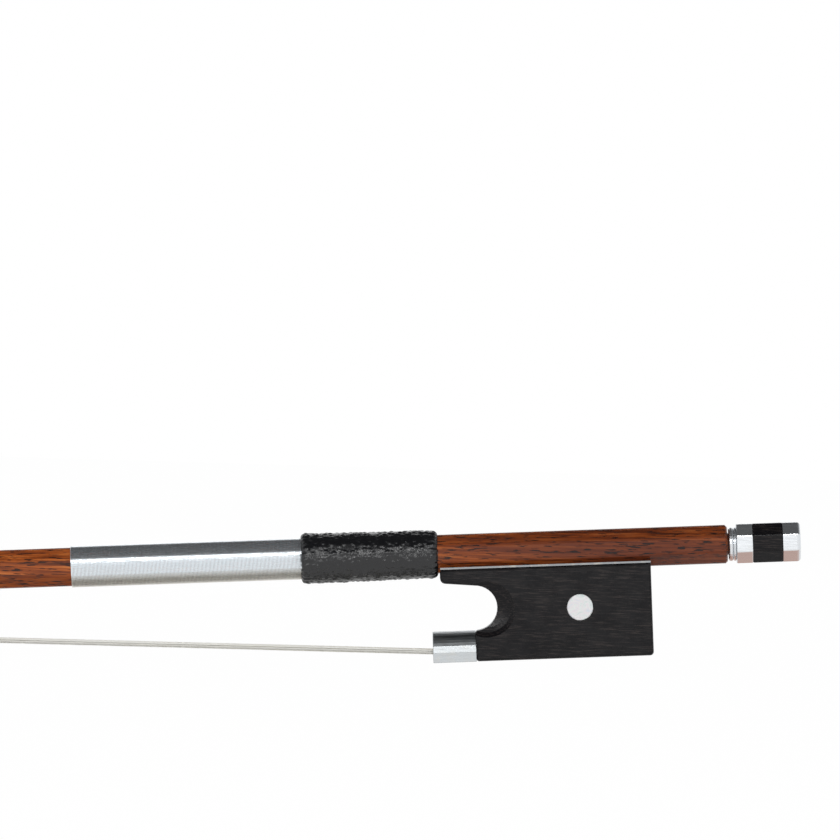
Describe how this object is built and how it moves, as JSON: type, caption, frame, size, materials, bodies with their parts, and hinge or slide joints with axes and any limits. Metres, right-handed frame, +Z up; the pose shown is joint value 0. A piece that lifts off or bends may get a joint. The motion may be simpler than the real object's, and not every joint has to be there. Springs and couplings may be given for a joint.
{
  "type": "violin bow",
  "caption": "Cambered wooden bow stick with a carved head, stretched hair, a sliding ebony frog and a screw button that sets the hair's tension.",
  "frame": {"origin": "middle of the bow's length and width, on the surface that the bow stands on, hair down", "axes": "+X from the head to the button, +Y across the bow, +Z up from the hair to the stick"},
  "size_m": [0.7464, 0.0116, 0.0335],
  "materials": {
    "pernambuco": "varnished, fine grain with dark pores",
    "ebony": "polished",
    "silver": "polished silver with fine scratches",
    "mother_of_pearl": "polished pearl",
    "white_plate": "polished bone",
    "black_leather": "pebbled",
    "horsehair": "fine strands",
    "brass": "satin",
    "screw_steel": "turned",
    "maple": "bare"
  },
  "bodies": {
    "stick_assembly": {"stick": "pernambuco", "head_liner": "ebony", "tip_plate": "white_plate", "head_plug": "maple", "head_hair_knot": "horsehair", "hair_ribbon": "horsehair", "silver_lapping": "silver", "thumb_leather": "black_leather"},
    "frog_assembly": {"frog_body": "ebony", "underslide": "silver", "underslide_pin_front": "silver", "underslide_pin_rear": "silver", "eyelet": "brass", "pearl_eye_left": "mother_of_pearl", "pearl_eye_right": "mother_of_pearl", "ferrule": "silver", "spread_wedge": "maple", "pearl_slide": "mother_of_pearl", "slide_base": "ebony", "frog_plug": "maple", "frog_hair_knot": "horsehair"},
    "adjuster": {"adjuster_screw": "screw_steel", "button_collar": "silver", "button_core": "ebony", "button_end_cap": "silver"}
  },
  "joints": [
    {"name": "frog_travel", "type": "slide", "parent": "stick_assembly", "child": "frog_assembly", "axis": [0.9979, 0, 0.064], "range_m": [0, 0.00762], "deforming": ["hair_ribbon"]},
    {"name": "button_turn", "type": "hinge", "parent": "stick_assembly", "child": "adjuster", "pos_m": [0.35678, 0, 0.02823], "axis": [-0.9979, 0, -0.064], "range_deg": [0, 4320]}
  ],
  "couplings": [
    {"joint": "button_turn", "follows": "frog_travel", "rad_per_m": 9894.8}
  ]
}
